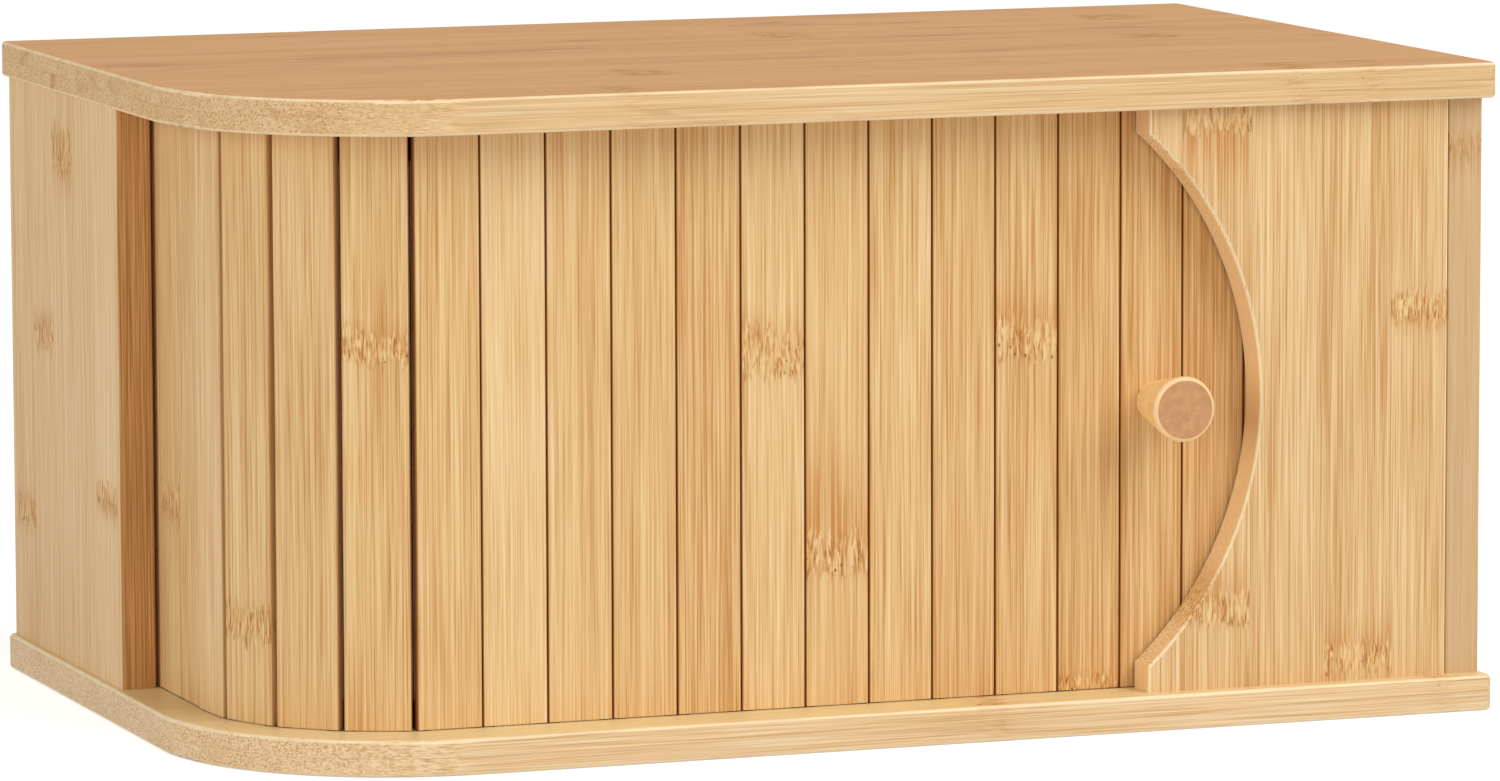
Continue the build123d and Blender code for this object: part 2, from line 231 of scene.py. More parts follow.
SLAT_COLOURS = (srgb(196, 141, 78), srgb(225, 183, 125), srgb(239, 209, 158))
BOARD_COLOURS = (srgb(201, 150, 92), srgb(226, 187, 133), srgb(239, 211, 165))
PANEL_COLOURS = (srgb(196, 154, 104), srgb(226, 190, 140), srgb(240, 216, 176))
KNUCKLE_DARK = srgb(166, 104, 48)
KNUCKLE_PALE = srgb(238, 206, 150)
KNUCKLE_STREAK = srgb(198, 132, 62)
KNUCKLE_SHADOW = srgb(160, 104, 60)
PORE = srgb(112, 64, 28)
SPECKLE = srgb(186, 130, 74)
BLOTCH = srgb(160, 105, 60)
STRIP_SEAM = srgb(150, 98, 52)
SLAT_SEAM_SHADE = srgb(160, 88, 24)
GLUE_LINE = srgb(170, 118, 68)
PANEL_RIM_HIGHLIGHT = srgb(247, 222, 178)
SAWN_LIT_DARK = srgb(238, 198, 142)
SAWN_LIT_PALE = srgb(249, 220, 172)
SAWN_RIM_HIGHLIGHT = srgb(251, 229, 186)
SEAM_SHADE_PAINT = 0.78          # how strongly painted shade darkens a slat's sides
FAINT_SEAM_SHADE_PAINT = 0.3     # the same where the photograph's seams are fainter
FIRST_FAINT_SLAT = 16
TOP_LAYER = 194.5 / 35     # layers of this height put a glue line half way up the top panel
BOTTOM_LAYER = 5.5         # and half way up the bottom panel


def knuckle_group():
    """One knuckle of the cane: a jagged band across a strip, with an amber stain on one side."""
    group = bpy.data.node_groups.new("knuckle", "ShaderNodeTree")
    for name, kind in (("Place", "NodeSocketVector"), ("Across", "NodeSocketFloat"),
                       ("Along", "NodeSocketFloat"), ("HalfWidth", "NodeSocketFloat"),
                       ("Height", "NodeSocketFloat"), ("Stain", "NodeSocketFloat")):
        group.interface.new_socket(name, in_out="INPUT", socket_type=kind)
    for name in ("Band", "Stain", "Root"):
        group.interface.new_socket(name, in_out="OUTPUT", socket_type="NodeSocketFloat")
    t = Tree(group)
    given = t.node("NodeGroupInput").outputs
    across, _, along = t.split(given["Place"])
    aside = t.math("ABSOLUTE", t.math("SUBTRACT", across, given["Across"]))
    inner = t.math("SUBTRACT", given["HalfWidth"], 0.35)
    inside = t.math("SUBTRACT", 1.0, t.remap(aside, inner, given["HalfWidth"]))
    stretched = t.vector("MULTIPLY", given["Place"], (0.8, 0.8, 0.12))
    jagged = t.math("MULTIPLY", t.math("SUBTRACT", t.noise(stretched, detail=3), 0.5), 14.0)
    wave = t.vector("MULTIPLY", given["Place"], (0.16, 0.16, 0.0))
    wave = t.math("MULTIPLY", t.math("SUBTRACT", t.noise(wave, detail=0), 0.5), 5.0)
    over = t.math("ADD", t.math("SUBTRACT", along, given["Along"]), t.math("ADD", jagged, wave))
    away = t.math("DIVIDE", t.math("ABSOLUTE", over), given["Height"])
    band = t.math("MULTIPLY", inside, t.math("SUBTRACT", 1.0, t.remap(away, 0.36, 0.62)))
    side = t.math("DIVIDE", over, given["Stain"])
    faded = t.math("SUBTRACT", 1.0, t.remap(side, 0.1, 1.2))
    stain = t.math("MULTIPLY", t.remap(side, -0.1, 0.12), faded)
    root = t.math("ADD", t.math("SUBTRACT", along, given["Along"]), wave)
    root = t.math("ADD", t.math("DIVIDE", root, given["Height"]), 0.3)
    root = t.math("SUBTRACT", 1.0, t.remap(t.math("ABSOLUTE", root), 0.06, 0.22))
    output = t.node("NodeGroupOutput")
    t.put(band, output.inputs["Band"])
    t.put(t.math("MULTIPLY", inside, stain), output.inputs["Stain"])
    t.put(t.math("MULTIPLY", inside, root), output.inputs["Root"])
    return group


KNUCKLE = knuckle_group()


def bamboo(name, place_of, strip=22.7, strip_start=0.0, layer=0.0, tone=0.0, contrast=1.0,
           knuckles=(), seed=1, shaded_end=None, rim=False, grain_axis=2,
           strip_spread=0.5, blotches=0.0, roughness=0.5, specular=0.2, upward_face_light_and_shade=None,
           colours=BOARD_COLOURS, seam_strength=0.35, cut_axis=None, knuckle_shade=0.0,
           side_edges=None, edge_shade=SEAM_SHADE_PAINT):
    """Bamboo made of glued strips.

    place_of gives the point as (across, through, along the grain) in millimetres.
    knuckles holds (across, along, half width, height, stain length) for each knuckle.
    tone runs from -1, amber, to 1, cream. shaded_end is (axis, sign, colour) of an end darkened
    brown with painted shade.
    """
    material, t = new_material(name)
    place = place_of(t)
    across, through, along = t.split(place)

    # Which strip and which layer, and a random number for each.
    sheet = t.math("FLOOR", t.math("DIVIDE", through, layer)) if layer else 0.0
    shifted = t.math("SUBTRACT", across, strip_start)
    if layer:
        shifted = t.math("ADD", shifted, t.math("MULTIPLY", sheet, strip * 0.37))
    counted = t.math("DIVIDE", shifted, strip)
    number = t.math("FLOOR", counted)
    value, colour = t.random(t.join(number, sheet, float(seed)))
    jump = t.vector("MULTIPLY", colour, (43.0, 57.0, 900.0))
    fibre_place = t.vector("ADD", place, jump)
    seam = t.math("PINGPONG", counted, 0.5)
    seam = t.math("SUBTRACT", 1.0, t.remap(t.math("MULTIPLY", seam, strip), 0.05, 0.22))

    # Fibres: long bundles, which show as lines along the grain and as dots across it.
    # Near a knuckle the fibres wander.
    band = stain = root = 0.0
    for knuckle in knuckles:
        group = t.node("ShaderNodeGroup", node_tree=KNUCKLE)
        t.put(place, group.inputs["Place"])
        for label, number_of in zip(("Across", "Along", "HalfWidth", "Height", "Stain"), knuckle):
            group.inputs[label].default_value = number_of
        band = t.math("MAXIMUM", band, group.outputs["Band"])
        stain = t.math("MAXIMUM", stain, group.outputs["Stain"])
        root = t.math("MAXIMUM", root, group.outputs["Root"])
    fine = t.noise(t.vector("MULTIPLY", fibre_place, (2.0, 2.0, 0.017)), detail=2, roughness=0.62)
    medium = t.noise(t.vector("MULTIPLY", fibre_place, (0.70, 0.70, 0.007)), detail=1)
    broad = t.noise(t.vector("MULTIPLY", fibre_place, (0.10, 0.10, 0.006)), detail=1)
    bundles = t.cells(t.vector("MULTIPLY", fibre_place, (1.25, 1.25, 0.018)))
    pores = t.math("SUBTRACT", 1.0, t.remap(bundles, 0.10, 0.42))

    # The end grain, where the surface crosses the fibres.
    normal = t.split(t.node("ShaderNodeTexCoord").outputs["Normal"])
    end = t.remap(t.math("ABSOLUTE", normal[grain_axis]), 0.25, 0.8)

    # Colour.
    lines = t.math("ADD", t.math("MULTIPLY", t.math("SUBTRACT", fine, 0.5), 1.8 * contrast),
                   t.math("MULTIPLY", t.math("SUBTRACT", medium, 0.5), 0.4 * contrast))
    level_face = t.remap(normal[2], 0.75, 0.95)
    if upward_face_light_and_shade:
        softer = t.math("SUBTRACT", 1.0, t.math("MULTIPLY", level_face, 0.6))
        lines = t.math("MULTIPLY", lines, softer)
    shade = t.math("ADD", lines, t.math("MULTIPLY", t.math("SUBTRACT", broad, 0.5), 0.3))
    shade = t.math("ADD", shade, t.math("MULTIPLY", t.math("SUBTRACT", value, 0.5), strip_spread))
    shade = t.math("SUBTRACT", shade, t.math("MULTIPLY", pores, 0.20 * contrast))
    shade = t.math("ADD", shade, 0.53 + 0.22 * tone)
    colour = t.ramp(shade, *zip((0.0, 0.5, 1.0), colours))
    if cut_axis is not None:
        # A sawn edge shows no seams. Its paler colour is partly its own tone and partly painted
        # light on a face left in shade, and a painted highlight runs along its round edge.
        flat = t.math("ABSOLUTE", normal[cut_axis])
        cut = t.remap(flat, 0.75, 0.5)
        smooth = t.mix(t.math("MULTIPLY", fine, 0.6), SAWN_LIT_DARK, SAWN_LIT_PALE)
        colour = t.mix(t.math("MULTIPLY", cut, 0.88), colour, smooth)
        # Painted highlight: a pale line where the cut edge rounds over into the board's faces.
        rim_light = t.math("MULTIPLY", t.remap(flat, 0.05, 0.22), t.remap(flat, 0.995, 0.94))
        colour = t.mix(t.math("MULTIPLY", rim_light, 0.85), colour, SAWN_RIM_HIGHLIGHT)
        seam = t.math("MULTIPLY", seam, t.math("SUBTRACT", 1.0, cut))
    speckle = t.math("MULTIPLY", end, t.remap(bundles, 0.42, 0.2, 0.0, 0.75))
    colour = t.mix(speckle, colour, SPECKLE)
    # Painted light and shade on upward faces: the top panel's top is darkened and made more orange,
    # and the bottom panel's sill is made paler.
    if upward_face_light_and_shade:
        colour = t.mix(level_face, colour, t.mix(1.0, colour, upward_face_light_and_shade, blend="MULTIPLY"))
    if blotches:
        patch = t.noise(t.vector("MULTIPLY", fibre_place, (0.045, 0.045, 0.012)), detail=4,
                        roughness=0.6, distortion=0.6)
        patch = t.remap(patch, 0.56, 0.74, 0.0, blotches)
        colour = t.mix(patch, colour, BLOTCH)
    squiggle = 0.5
    if knuckles:
        wander = t.noise(t.vector("MULTIPLY", fibre_place, (0.5, 0.5, 0.10)), detail=2)
        squiggle = t.noise(t.vector("MULTIPLY", fibre_place, (1.15, 1.15, 0.16)), detail=2,
                           roughness=0.55, distortion=0.9)
        marks = t.ramp(squiggle, (0.36, KNUCKLE_DARK), (0.45, srgb(206, 148, 84)),
                       (0.52, srgb(226, 182, 122)), (0.60, KNUCKLE_PALE))
        streaks = t.math("MULTIPLY", stain, t.remap(fine, 0.35, 0.6, 0.85, 0.25))
        colour = t.mix(streaks, colour, KNUCKLE_STREAK)
        marked = t.math("MULTIPLY", band, t.remap(wander, 0.35, 0.62, 0.95, 0.5))
        colour = t.mix(marked, colour, marks)
        if knuckle_shade:
            dark = t.math("MAXIMUM", t.math("MULTIPLY", band, 0.8), t.math("MULTIPLY", stain, 0.6))
            dark = t.math("MULTIPLY", t.math("MULTIPLY", dark, level_face), knuckle_shade)
            dark = t.math("MULTIPLY", dark, t.remap(wander, 0.3, 0.65, 0.4, 1.0))
            colour = t.mix(dark, colour, KNUCKLE_SHADOW)
        roots = t.cells(t.vector("MULTIPLY", fibre_place, (0.42, 0.42, 0.25)))
        roots = t.math("MULTIPLY", root, t.remap(roots, 0.2, 0.12))
        colour = t.mix(t.math("MULTIPLY", roots, 0.85), colour, PORE)
    colour = t.mix(t.math("MULTIPLY", seam, seam_strength), colour, STRIP_SEAM)
    if side_edges:
        # Painted shade: the sides of a slat, and a thin line next to them, are darkened as the seams
        # between slats fall in shade.
        aside = t.math("ABSOLUTE", across)
        edge = t.remap(aside, side_edges - 0.38, side_edges - 0.05)
        colour = t.mix(t.math("MULTIPLY", edge, edge_shade), colour, SLAT_SEAM_SHADE)
    if layer:
        glue = t.math("PINGPONG", t.math("DIVIDE", through, layer), 0.5)
        glue = t.math("SUBTRACT", 1.0, t.remap(t.math("MULTIPLY", glue, layer), 0.04, 0.22))
        upright = t.math("SUBTRACT", 1.0, t.remap(t.math("ABSOLUTE", normal[2]), 0.3, 0.6))
        glue = t.math("MULTIPLY", glue, upright)
        colour = t.mix(t.math("MULTIPLY", glue, 0.2), colour, GLUE_LINE)
    # Painted shade: the end face that looks the given way is darkened brown, as for an end recessed
    # in shade.
    if shaded_end:
        axis, sign, brown = shaded_end
        facing = t.remap(t.math("MULTIPLY", normal[axis], sign), 0.6, 0.9)
        deep, pale = (tuple(share * part for part in brown[:3]) + (1.0,) for share in (0.82, 1.14))
        streaked = t.mix(t.remap(fine, 0.38, 0.62), deep, pale)
        colour = t.mix(facing, colour, t.mix(1.0, colour, streaked, blend="MULTIPLY"))
    if rim:
        # Painted highlight: a pale line along the panels' rounded edges, broken up by noise.
        edge = t.math("ABSOLUTE", normal[2])
        edge = t.math("MULTIPLY", t.remap(edge, 0.12, 0.45), t.remap(edge, 0.99, 0.8))
        highlight_breakup = t.noise(t.vector("MULTIPLY", place, (0.2, 0.2, 0.05)), detail=3)
        edge = t.math("MULTIPLY", edge, t.remap(highlight_breakup, 0.3, 0.6, 0.45, 0.95))
        colour = t.mix(edge, colour, PANEL_RIM_HIGHLIGHT)

    # Gloss and relief.
    gloss = t.math("ADD", t.remap(medium, 0.3, 0.7, roughness + 0.06, roughness - 0.04),
                   t.math("MULTIPLY", band, 0.12))
    gloss = t.math("ADD", gloss, t.math("MULTIPLY", end, 0.12))
    height = t.math("ADD", t.math("MULTIPLY", fine, 0.35), t.math("MULTIPLY", medium, 0.4))
    height = t.math("SUBTRACT", height, t.math("MULTIPLY", pores, 0.18))
    height = t.math("SUBTRACT", height, t.math("MULTIPLY", seam, 0.35))
    if knuckles:
        relief = t.math("MULTIPLY", band, t.math("ADD", squiggle, 0.4))
        height = t.math("ADD", height, t.math("MULTIPLY", relief, 1.5))
    finish_material(t, colour, gloss, height, bump_mm=0.12, bump_strength=0.8,
                    Specular_IOR_Level=specular)
    return material


def give(node, material):
    """A CAD node's own material."""
    mesh = frame["nodes"][node].data
    mesh.materials.clear()
    mesh.materials.append(material)


# A slat's tone from -1, amber, to 1, cream. The darker tones of slats 2 and 3, beside the front
# board, are partly their own and partly painted shade of the board. The others are drawn at random.
SLAT_TONES = {1: -0.9, 2: -0.8, 3: -0.75, 4: -0.9, 5: -0.2, 6: -0.3, 7: 0.1, 8: 0.1, 9: 0.5,
              10: -0.6, 11: 0.1, 12: 0.1, 13: 1.0, 14: 0.1, 15: -0.1, 16: 0.0, 17: 0.0, 18: 0.4,
              19: -0.2}
SLAT_KNUCKLES = {      # across, along, half width, height, stain length
    4: [(0.0, 13.0, 10.2, 5.5, 5.0)],
    5: [(0.0, 119.5, 10.2, 12.0, 16.0)],
    8: [(0.0, 57.5, 10.2, 13.0, 34.0)],
    9: [(0.0, 119.0, 10.2, 14.0, 14.0)],
    15: [(0.0, 125.5, 10.2, 8.5, 9.0)],
    17: [(0.0, 41.0, 10.2, 9.0, 8.0)],
    20: [(0.0, 71.0, 10.2, 9.0, -9.0)],
}


def finish_slats():
    chance = random.Random(11)
    for slat in range(1, SLAT_COUNT + 1):
        tone = SLAT_TONES.get(slat, chance.uniform(-0.5, 0.5))
        material = bamboo(
            f"bamboo_slat_{slat:02d}", lambda t, slat=slat: along_slat(t, slat),
            strip=30.0, strip_start=-15.0, tone=tone, knuckles=SLAT_KNUCKLES.get(slat, ()),
            seed=20 + slat, strip_spread=0.0, contrast=chance.uniform(1.0, 1.35),
            colours=SLAT_COLOURS, side_edges=SLAT_WIDTH / 2,
            edge_shade=FAINT_SEAM_SHADE_PAINT if slat >= FIRST_FAINT_SLAT else SEAM_SHADE_PAINT)
        give(f"slat_{slat:02d}", material)


def finish_boards():
    front = bamboo(
        "bamboo_front", lambda t: along_axes(t, "xyz"), strip=23.2, strip_start=6.9, seed=3,
        strip_spread=0.28, tone=-0.2, contrast=1.4, cut_axis=1,
        knuckles=[(111.3, 184.6, 11.5, 7.0, -22.0), (111.3, 35.6, 11.5, 9.5, 16.0),
                  (180.5, 125.3, 11.5, 9.0, -9.0), (159.0, 18.0, 11.5, 9.0, 12.0)])
    give("front_board", front)
    left = bamboo(
        "bamboo_left_side", lambda t: along_axes(t, "yxz"), strip=23.2, strip_start=2.6, seed=5,
        strip_spread=0.22, tone=0.25, contrast=0.95, shaded_end=(1, -1, (0.73, 0.55, 0.39, 1.0)),
        knuckles=[(60.6, 171.0, 11.5, 14.0, -16.0), (83.8, 111.0, 11.5, 10.0, 9.0),
                  (14.2, 68.0, 11.5, 9.0, -8.0), (107.0, 52.0, 11.5, 9.0, 9.0)])
    give("left_side_panel", left)
    right = bamboo(
        "bamboo_right_side", lambda t: along_axes(t, "yxz"), strip=23.6, strip_start=-117.5,
        seed=6, strip_spread=0.2, tone=0.9, contrast=0.8,
        knuckles=[(-105.7, 175.6, 12.0, 7.0, -12.0), (-82.0, 96.0, 11.5, 9.0, 10.0),
                  (-11.0, 148.0, 11.5, 9.0, -10.0), (36.0, 62.0, 11.5, 10.0, 12.0),
                  (83.5, 131.0, 11.5, 9.0, 9.0)])
    give("right_side_panel", right)
    back = bamboo(
        "bamboo_back", lambda t: along_axes(t, "zyx"), strip=22.4, strip_start=11.0, seed=7,
        strip_spread=0.3, grain_axis=0,
        knuckles=[(22.2, -120.0, 11.0, 10.0, 12.0), (44.6, 96.0, 11.0, 9.0, -10.0),
                  (89.4, -30.0, 11.0, 10.0, 12.0), (111.8, 148.0, 11.0, 9.0, 9.0),
                  (134.2, -96.0, 11.0, 10.0, -12.0), (179.0, 40.0, 11.0, 9.0, 10.0)])
    give("back_panel", back)
    top = bamboo(
        "bamboo_top", lambda t: along_axes(t, "yzx"), strip=22.6, strip_start=-124.0,
        layer=TOP_LAYER, seed=9, strip_spread=0.12, grain_axis=0, rim=True, tone=-0.2,
        blotches=0.5, contrast=0.8, upward_face_light_and_shade=(0.87, 0.65, 0.44, 1.0), specular=0.06,
        colours=PANEL_COLOURS, seam_strength=0.06, knuckle_shade=0.35,
        knuckles=[(-112.7, 138.3, 11.4, 8.0, -8.0), (-112.7, 160.5, 11.4, 7.0, 7.0),
                  (-112.7, -77.4, 11.4, 8.0, 7.0), (-60.0, -50.7, 11.4, 13.0, -12.0),
                  (52.5, 33.0, 11.4, 12.0, 12.0), (7.6, 143.2, 11.4, 12.0, -14.0),
                  (79.4, 155.9, 11.4, 14.0, 16.0)])
    give("top_panel", top)
    bottom = bamboo(
        "bamboo_bottom", lambda t: along_axes(t, "yzx"), strip=22.6, strip_start=-124.0,
        layer=BOTTOM_LAYER, seed=10, strip_spread=0.12, grain_axis=0, rim=True, tone=0.5,
        contrast=1.3, roughness=0.36, specular=0.35, upward_face_light_and_shade=(1.05, 1.12, 1.03, 1.0),
        colours=PANEL_COLOURS, seam_strength=0.08,
        knuckles=[(-112.7, 185.4, 11.4, 7.0, -8.0), (-112.7, 36.6, 11.4, 9.0, 8.0),
                  (20.0, -90.0, 11.4, 10.0, 9.0), (66.0, 60.0, 11.4, 10.0, -9.0)])
    give("bottom_panel", bottom)


# ---------------------------------------------------------------- small parts

def finish_knob():
    material, t = new_material("turned_knob")
    place = along_axes(t, "xyz")
    through = t.split(place)[1]
    slat_x, _, _ = track_point(station_of(KNOB_SLAT))
    from_axis = t.vector("SUBTRACT", place, (slat_x + KNOB_OFFSET, 0.0, KNOB_Z))
    grain = t.vector("MULTIPLY", from_axis, (1.6, 1.2, 0.05))
    fine = t.noise(grain, detail=4, roughness=0.65)
    broad = t.noise(t.vector("MULTIPLY", from_axis, (0.22, 0.1, 0.02)), detail=2)
    shade = t.math("ADD", t.math("MULTIPLY", fine, 0.6), t.math("MULTIPLY", broad, 0.4))
    side = t.ramp(shade, (0.35, srgb(238, 190, 122)), (0.5, srgb(249, 212, 149)),
                  (0.65, srgb(252, 223, 172)))
    mottle = t.noise(t.vector("MULTIPLY", from_axis, (0.35, 0.35, 0.35)), detail=4, roughness=0.65)
    face = t.ramp(mottle, (0.35, srgb(188, 134, 86)), (0.5, srgb(196, 142, 94)),
                  (0.65, srgb(204, 151, 102)))
    normal = t.split(t.node("ShaderNodeTexCoord").outputs["Normal"])
    facing = t.remap(normal[1], -0.9, -0.99)
    colour = t.mix(facing, side, face)
    flecks = t.cells(t.vector("MULTIPLY", from_axis, (1.1, 0.5, 0.35)))
    flecks = t.math("MULTIPLY", t.remap(flecks, 0.2, 0.08), 0.35)
    colour = t.mix(flecks, colour, srgb(158, 98, 58))
    # Painted highlight: a pale ring on the curved rim between the knob's face and its stem.
    rim_highlight = t.math("MULTIPLY", t.remap(normal[1], -0.15, -0.5), t.remap(normal[1], -0.97, -0.8))
    colour = t.mix(t.math("MULTIPLY", rim_highlight, 0.55), colour, srgb(243, 208, 160))
    # Faint rings from turning, on the face and round the stem.
    distance = t.vector("MULTIPLY", from_axis, (1.0, 0.0, 1.0))
    length = t.node("ShaderNodeVectorMath", operation="LENGTH")
    t.put(distance, length.inputs[0])
    rings = t.math("SINE", t.math("MULTIPLY", t.math("ADD", length.outputs["Value"], through), 7.0))
    height = t.math("ADD", t.math("MULTIPLY", rings, 0.06), t.math("MULTIPLY", fine, 0.5))
    gloss = t.remap(fine, 0.3, 0.7, 0.5, 0.38)
    finish_material(t, colour, gloss, height, bump_mm=0.08, bump_strength=0.7)
    give("knob", material)


def finish_dowels():
    material, t = new_material("dowel_beech")
    place = along_axes(t, "xyz")
    fine = t.noise(t.vector("MULTIPLY", place, (1.8, 1.8, 0.06)), detail=3)
    colour = t.ramp(fine, (0.3, srgb(196, 148, 98)), (0.7, srgb(232, 198, 150)))
    finish_material(t, colour, t.remap(fine, 0.3, 0.7, 0.6, 0.5), fine, bump_mm=0.05)
    give("top_dowels", material)


def finish_steel():
    material, t = new_material("steel_brushed")
    place = along_axes(t, "xyz")
    scratch = t.noise(t.vector("MULTIPLY", place, (1.2, 6.0, 1.2)), detail=4, roughness=0.7)
    spots = t.noise(place, scale=0.8, detail=3)
    colour = t.ramp(spots, (0.3, srgb(168, 168, 165)), (0.7, srgb(205, 206, 206)))
    gloss = t.remap(scratch, 0.3, 0.7, 0.42, 0.24)
    finish_material(t, colour, gloss, scratch, bump_mm=0.02, Metallic=1.0)
    for node in ("base_screws", "knob_screw", "knob_washer"):
        give(node, material)


# ---------------------------------------------------------------- cloth behind the slats

CLOTH_LOW = 20.0
CLOTH_HIGH = 180.0
CLOTH_THICKNESS = 0.45
CLOTH_EDGE = 0.1       # how far a strip reaches past its slats
CLOTH_ROWS = 80
CLOTH_COLUMN = 1.6     # about how wide a column of faces is
GLUE_FILM = 0.03       # slat to cloth
SEAM_DIP = 0.16        # how far the cloth dips in at a seam
DIP_START = 8.6        # from the middle of a slat
DIP_RUN = 1.6
HEM = 0.1              # how far each face draws in at the border
RIPPLE = 0.03
FRAY = 0.18            # up or down, along the cut ends
THREAD_PITCH = 0.9
CLOTH_GROUPS = (       # slats behind which each strip runs
    (1, 4), (5, 5), (6, 6), (7, 7), (8, 8), (9, 13), (14, 14), (15, 15), (16, 16), (17, 17),
    (18, 18), (19, 21))


def canvas_material():
    material, t = new_material("canvas")
    place = along_axes(t, "xyz")
    x, y, z = t.split(place)
    # Warp threads stand upright, so they are counted along both plan directions.
    around = t.math("ADD", x, y)
    warp = t.math("SINE", t.math("MULTIPLY", around, 2 * math.pi / THREAD_PITCH))
    weft = t.math("SINE", t.math("MULTIPLY", z, 2 * math.pi / THREAD_PITCH))
    weave = t.math("MULTIPLY", warp, weft)
    slub = t.noise(t.vector("MULTIPLY", place, (1.1, 1.1, 0.05)), detail=2)
    slub = t.math("ADD", slub, t.noise(t.vector("MULTIPLY", place, (0.04, 0.04, 1.2)), detail=2))
    stain = t.noise(place, scale=0.05, detail=3)
    shade = t.math("ADD", t.math("MULTIPLY", slub, 0.35), t.math("MULTIPLY", stain, 0.35))
    shade = t.math("ADD", shade, t.math("MULTIPLY", weave, 0.08))
    colour = t.ramp(shade, (0.35, srgb(176, 162, 136)), (0.52, srgb(205, 194, 170)),
                    (0.68, srgb(224, 216, 197)))
    height = t.math("ADD", t.math("MULTIPLY", weave, 0.5), t.math("MULTIPLY", slub, 0.6))
    finish_material(t, colour, 0.9, height, bump_mm=0.12, Sheen_Weight=0.15)
    return material


def cloth_strip(number, first, last, material):
    """Canvas glued behind the slats from first to last: proud on each slat, dipped at each seam."""
    chance = random.Random(100 + number)
    half = SLAT_WIDTH / 2 + CLOTH_EDGE
    right = half
    left = -half - (last - first) * SLAT_PITCH
    columns = max(12, round((right - left) / CLOTH_COLUMN))
    rows = CLOTH_ROWS
    mesh = bpy.data.meshes.new(f"cloth_{number:02d}")
    shape = bmesh.new()
    grid = []
    for side in (0, 1):
        layer = []
        for row in range(rows + 1):
            z = CLOTH_LOW + (CLOTH_HIGH - CLOTH_LOW) * row / rows
            line = []
            for column in range(columns + 1):
                x = left + (right - left) * column / columns
                from_slat = abs((x + SLAT_PITCH / 2) % SLAT_PITCH - SLAT_PITCH / 2)
                dip = SEAM_DIP * max(0.0, from_slat - DIP_START) / DIP_RUN
                hem = HEM if row in (0, rows) or column in (0, columns) else 0.0
                ripple = RIPPLE * math.sin(z * 0.23 + number) * math.sin(x * 0.5 + number)
                y = GLUE_FILM if side == 0 else CLOTH_THICKNESS + ripple - dip
                fray = chance.uniform(-FRAY, FRAY) if row in (0, rows) else 0.0
                y = y + hem if side == 0 else y - hem
                line.append(shape.verts.new((x * MM, y * MM, (z + fray) * MM)))
            layer.append(line)
        grid.append(layer)
    # Both faces, and the edge that joins them.
    for row in range(rows):
        for column in range(columns):
            for side in (0, 1):
                layer = grid[side]
                corners = [layer[row][column], layer[row][column + 1],
                           layer[row + 1][column + 1], layer[row + 1][column]]
                shape.faces.new(corners if side == 0 else corners[::-1])
    loop = ([(0, c) for c in range(columns)] + [(r, columns) for r in range(rows)]
            + [(rows, c) for c in range(columns, 0, -1)] + [(r, 0) for r in range(rows, 0, -1)])
    for here, after in zip(loop, loop[1:] + loop[:1]):
        shape.faces.new([grid[0][here[0]][here[1]], grid[1][here[0]][here[1]],
                         grid[1][after[0]][after[1]], grid[0][after[0]][after[1]]])
    bmesh.ops.recalc_face_normals(shape, faces=shape.faces)
    shape.to_mesh(mesh)
    shape.free()
    mesh.transform(slat_matrix(first))
    mesh.materials.append(material)
    for face in mesh.polygons:
        face.use_smooth = True
    strip = bpy.data.objects.new(f"cloth_strip_{number:02d}", mesh)
    bpy.context.collection.objects.link(strip)
    return strip, ((right - left) * MM, (CLOTH_HIGH - CLOTH_LOW) * MM)


def add_cloth():
    material = canvas_material()
    body_of = {node: body for body, nodes in frame["record"]["behaviour"]["bodies"].items()
               for node in nodes}
    for number, (first, last) in enumerate(CLOTH_GROUPS, 1):
        backing = f"backing_{number:02d}"
        strip, flat = cloth_strip(number, first, last, material)
        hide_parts(backing)
        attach(strip, body_of[backing])


# ---------------------------------------------------------------- stage, light and camera

WORLD_LIGHT = 0.42
FLOOR_GLOW = 0.62
FLOOR_REACH = 6.0      # metres
FLOOR_DROP = 0.0002    # metres below the object
SENSOR_WIDTH = 36.0


def seen_directly(t):
    """1 where the camera sees the surface, also in a reflection or through glass, else 0."""
    path = t.node("ShaderNodeLightPath").outputs
    seen = t.math("MAXIMUM", path["Is Camera Ray"], path["Is Glossy Ray"])
    return t.math("MAXIMUM", seen, path["Is Transmission Ray"])


def white_to_camera(t, surface, strength):
    """surface as it lights the object, and surface plus white light as the camera sees it."""
    seen = seen_directly(t)
    glow = t.node("ShaderNodeEmission")
    glow.inputs["Strength"].default_value = strength
    both = t.node("ShaderNodeAddShader")
    t.put(surface, both.inputs[0])
    t.put(glow.outputs[0], both.inputs[1])
    mix = t.node("ShaderNodeMixShader")
    t.put(seen, mix.inputs[0])
    t.put(surface, mix.inputs[1])
    t.put(both.outputs[0], mix.inputs[2])
    return mix.outputs[0]


def add_floor():
    mesh = bpy.data.meshes.new("floor")
    corners = [(-1, -1), (1, -1), (1, 1), (-1, 1)]
    mesh.from_pydata([(x * FLOOR_REACH, y * FLOOR_REACH, 0) for x, y in corners],
                     [], [(0, 1, 2, 3)])
    floor = bpy.data.objects.new("floor", mesh)
    floor.location.z = -FLOOR_DROP
    bpy.context.collection.objects.link(floor)
    material, t = new_material("floor_pale")
    surface = t.node("ShaderNodeBsdfDiffuse")
    surface.inputs["Color"].default_value = (0.8, 0.8, 0.8, 1)
    output = t.node("ShaderNodeOutputMaterial")
    t.put(white_to_camera(t, surface.outputs[0], FLOOR_GLOW), output.inputs["Surface"])
    mesh.materials.append(material)


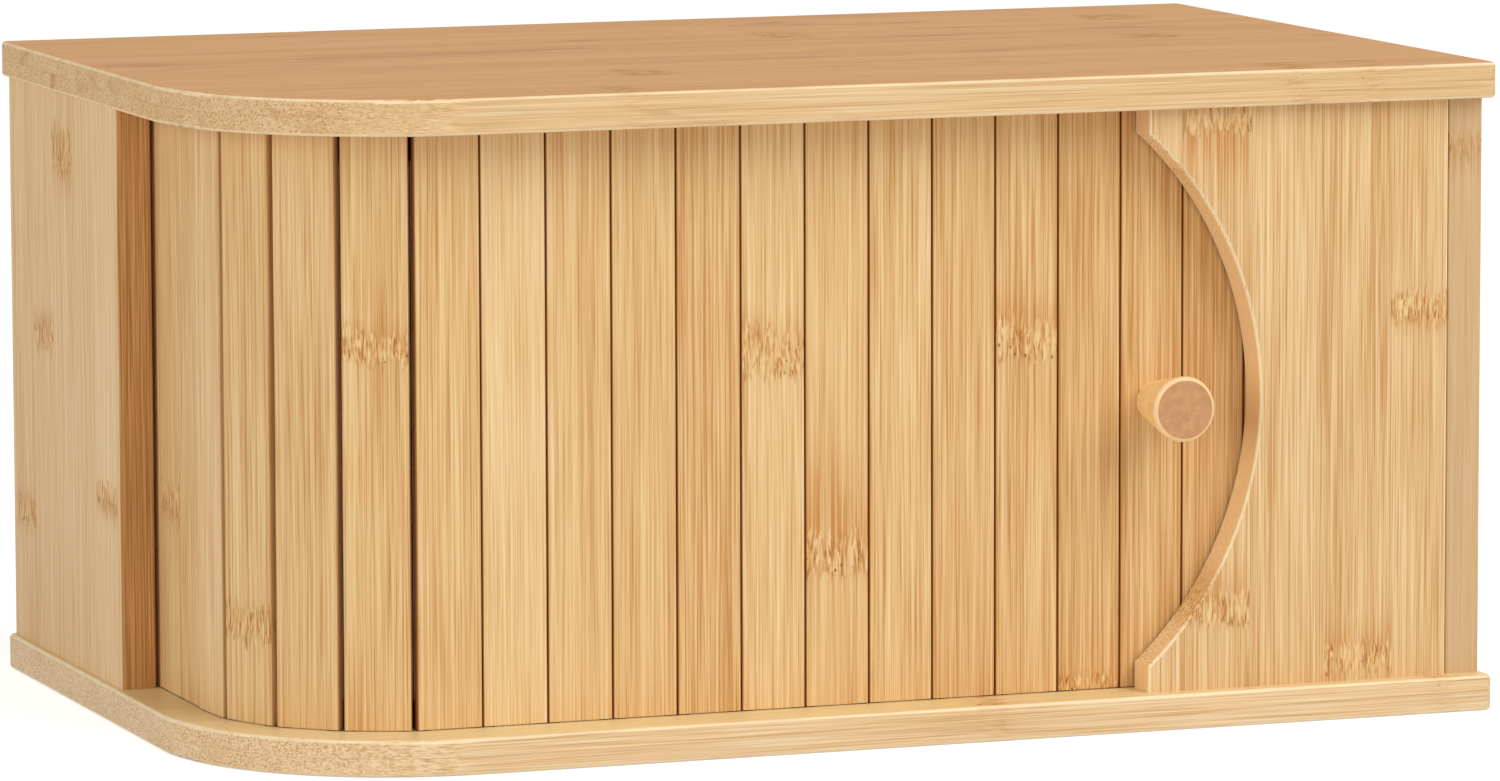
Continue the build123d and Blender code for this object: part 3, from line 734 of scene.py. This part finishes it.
def add_world():
    world = bpy.data.worlds.new("studio")
    bpy.context.scene.world = world
    world.use_nodes = True
    world.node_tree.nodes.clear()
    t = Tree(world.node_tree)
    seen = seen_directly(t)
    soft = t.node("ShaderNodeBackground")
    soft.inputs["Color"].default_value = (1, 1, 1, 1)
    soft.inputs["Strength"].default_value = WORLD_LIGHT
    white = t.node("ShaderNodeBackground")
    white.inputs["Color"].default_value = (1, 1, 1, 1)
    white.inputs["Strength"].default_value = 1.0
    mix = t.node("ShaderNodeMixShader")
    t.put(seen, mix.inputs[0])
    t.put(soft.outputs[0], mix.inputs[1])
    t.put(white.outputs[0], mix.inputs[2])
    output = t.node("ShaderNodeOutputWorld")
    t.put(mix.outputs[0], output.inputs["Surface"])


def add_lamp(name, place, target, size, power):
    lamp = bpy.data.lights.new(name, "AREA")
    lamp.shape = "RECTANGLE"
    lamp.size, lamp.size_y = size
    lamp.energy = power
    holder = bpy.data.objects.new(name, lamp)
    holder.location = place
    holder.rotation_euler = (Vector(target) - Vector(place)).to_track_quat("-Z", "Y").to_euler()
    bpy.context.collection.objects.link(holder)


def add_lights():
    middle = (0.0, 0.0, 0.1)
    add_lamp("key", (1.2, -1.7, 2.0), middle, (1.8, 2.6), 50.0)
    add_lamp("front", (-0.4, -2.8, 0.3), middle, (2.4, 0.9), 5.0)
    add_lamp("fill", (-2.3, -0.9, 0.6), middle, (1.4, 1.4), 18.0)


def add_camera():
    """The photograph's view: yaw from the front towards the left, pitch down, slight roll."""
    yaw, pitch, roll = (math.radians(angle) for angle in (20.226, 7.111, -0.161))
    distance, aside, above = 2.63421, -0.00410, 0.00606
    focal_pixels = 8449.69
    forward = Vector((math.sin(yaw) * math.cos(pitch), math.cos(yaw) * math.cos(pitch),
                      -math.sin(pitch)))
    right = Vector((math.cos(yaw), -math.sin(yaw), 0.0))
    up = right.cross(forward)
    level_right = right * math.cos(roll) + up * math.sin(roll)
    level_up = up * math.cos(roll) - right * math.sin(roll)
    middle = Vector((0, 0, MIDDLE_Z * MM))
    place = middle - level_right * aside - level_up * above - forward * distance
    matrix = Matrix((level_right, level_up, -forward)).transposed().to_4x4()
    matrix.translation = place
    data = bpy.data.cameras.new("camera")
    data.sensor_fit = "HORIZONTAL"
    data.sensor_width = SENSOR_WIDTH
    data.lens = focal_pixels * SENSOR_WIDTH / IMAGE_WIDTH
    data.clip_start = 0.05
    data.clip_end = 40.0
    camera = bpy.data.objects.new("camera", data)
    camera.matrix_world = matrix
    bpy.context.collection.objects.link(camera)
    bpy.context.scene.camera = camera


bpy.context.scene.view_settings.view_transform = "Standard"
add_camera()
add_world()
add_lights()
add_floor()
finish_slats()
finish_boards()
finish_knob()
finish_dowels()
finish_steel()
add_cloth()
